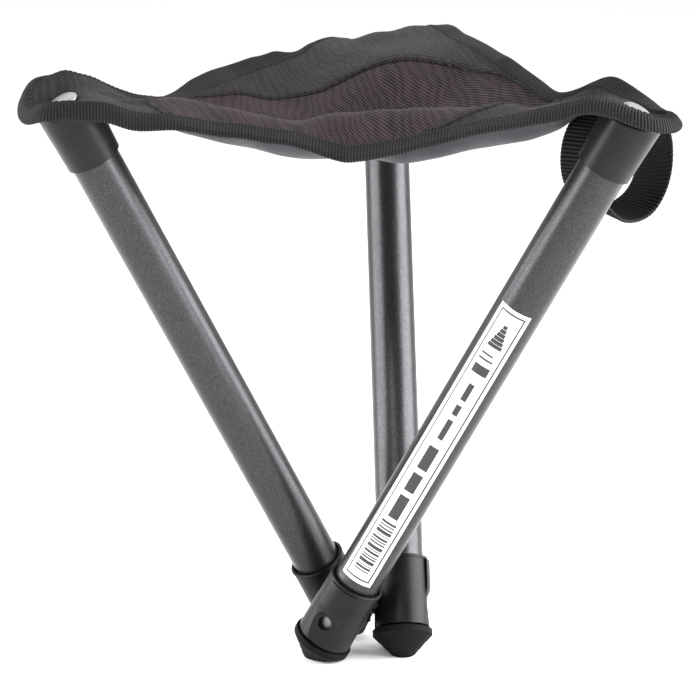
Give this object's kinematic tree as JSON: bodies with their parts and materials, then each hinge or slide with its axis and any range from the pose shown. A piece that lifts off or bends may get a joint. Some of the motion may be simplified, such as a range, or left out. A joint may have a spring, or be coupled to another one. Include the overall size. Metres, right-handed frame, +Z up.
{
  "type": "three leg stool",
  "caption": "Folding tripod stool with telescopic tubular legs crossing at a low hub, a slung three-cornered fabric seat and a webbing carry loop.",
  "frame": {"origin": "bottom centre of the open stool's bounding box, at floor level", "axes": "+Z up; -Y is the front edge of the seat; +Y points to the rear corner of the seat"},
  "size_m": [0.3106, 0.274, 0.3001],
  "materials": {
    "leg_paint": "dark grey fine hammered paint, satin",
    "inner_aluminium": "drawn and anodised, satin",
    "black_plastic": "moulded, finely textured",
    "bush_plastic": "smooth moulded",
    "foot_rubber": "matte",
    "screw_steel": "satin",
    "pin_steel": "turned",
    "button_steel": "turned",
    "spring_steel": "rolled strip",
    "panel_nylon": "fine twill, brown-black",
    "patch_nylon": "fine twill, charcoal",
    "binding_tape": "ribbed woven tape",
    "strap_webbing": "ribbed black webbing",
    "label_film": null
  },
  "bodies": {
    "hub": {"hub_block": "black_plastic", "pivot_pins": "pin_steel", "pivot_washers": "bush_plastic", "seat_panel": "panel_nylon", "edge_binding": "binding_tape", "corner_patch_right": "patch_nylon", "corner_patch_back": "patch_nylon", "corner_patch_left": "patch_nylon"},
    "leg_right": {"outer_tube_right": "leg_paint", "collar_right": "black_plastic", "top_cap_right": "black_plastic", "seat_screw_right": "screw_steel", "product_label": "label_film"},
    "inner_leg_right": {"inner_tube_right": "inner_aluminium", "guide_bush_right": "bush_plastic", "button_spring_right": "spring_steel", "foot_right": "foot_rubber"},
    "button_right": {"lock_button_right": "button_steel"},
    "leg_back": {"outer_tube_back": "leg_paint", "collar_back": "black_plastic", "top_cap_back": "black_plastic", "seat_screw_back": "screw_steel"},
    "inner_leg_back": {"inner_tube_back": "inner_aluminium", "guide_bush_back": "bush_plastic", "button_spring_back": "spring_steel", "foot_back": "foot_rubber"},
    "button_back": {"lock_button_back": "button_steel"},
    "leg_left": {"outer_tube_left": "leg_paint", "collar_left": "black_plastic", "top_cap_left": "black_plastic", "seat_screw_left": "screw_steel"},
    "inner_leg_left": {"inner_tube_left": "inner_aluminium", "guide_bush_left": "bush_plastic", "button_spring_left": "spring_steel", "foot_left": "foot_rubber"},
    "button_left": {"lock_button_left": "button_steel"},
    "carry_loop": {"carry_strap": "strap_webbing"}
  },
  "joints": [
    {"name": "fold_right", "type": "hinge", "parent": "hub", "child": "leg_right", "pos_m": [-0.00833, -0.06004, 0.025], "axis": [-0.367, -0.9302, 0], "range_deg": [0, 30], "deforming": ["seat_panel", "edge_binding", "corner_patch_right", "corner_patch_back", "corner_patch_left", "carry_strap"]},
    {"name": "fold_back", "type": "hinge", "parent": "hub", "child": "leg_back", "pos_m": [0.02245, -0.03558, 0.025], "axis": [0.9891, 0.1473, 0], "range_deg": [0, 30]},
    {"name": "fold_left", "type": "hinge", "parent": "hub", "child": "leg_left", "pos_m": [-0.01412, -0.02115, 0.025], "axis": [-0.6221, 0.7829, 0], "range_deg": [0, 30]},
    {"name": "extend_right", "type": "slide", "parent": "leg_right", "child": "inner_leg_right", "axis": [-0.4651, 0.1835, -0.866], "range_m": [0, 0.235]},
    {"name": "press_right", "type": "slide", "parent": "inner_leg_right", "child": "button_right", "axis": [0.367, 0.9302, 0], "range_m": [0, 0.0012], "stiffness_N_per_m": 900, "springref_m": -0.0025, "deforming": ["button_spring_right"]},
    {"name": "extend_back", "type": "slide", "parent": "leg_back", "child": "inner_leg_back", "axis": [0.0736, -0.4945, -0.866], "range_m": [0, 0.235]},
    {"name": "press_back", "type": "slide", "parent": "inner_leg_back", "child": "button_back", "axis": [-0.9891, -0.1473, 0], "range_m": [0, 0.0012], "stiffness_N_per_m": 900, "springref_m": -0.0025, "deforming": ["button_spring_back"]},
    {"name": "extend_left", "type": "slide", "parent": "leg_left", "child": "inner_leg_left", "axis": [0.3915, 0.3111, -0.866], "range_m": [0, 0.235]},
    {"name": "press_left", "type": "slide", "parent": "inner_leg_left", "child": "button_left", "axis": [0.6221, -0.7829, 0], "range_m": [0, 0.0012], "stiffness_N_per_m": 900, "springref_m": -0.0025, "deforming": ["button_spring_left"]},
    {"name": "swing_strap", "type": "hinge", "parent": "leg_right", "child": "carry_loop", "pos_m": [0.131, -0.06992, 0.2785], "axis": [0.5, -0.866, 0], "range_deg": [0, 40]}
  ],
  "couplings": [
    {"joint": "fold_back", "follows": "fold_right", "ratio": 1},
    {"joint": "fold_left", "follows": "fold_right", "ratio": 1}
  ]
}
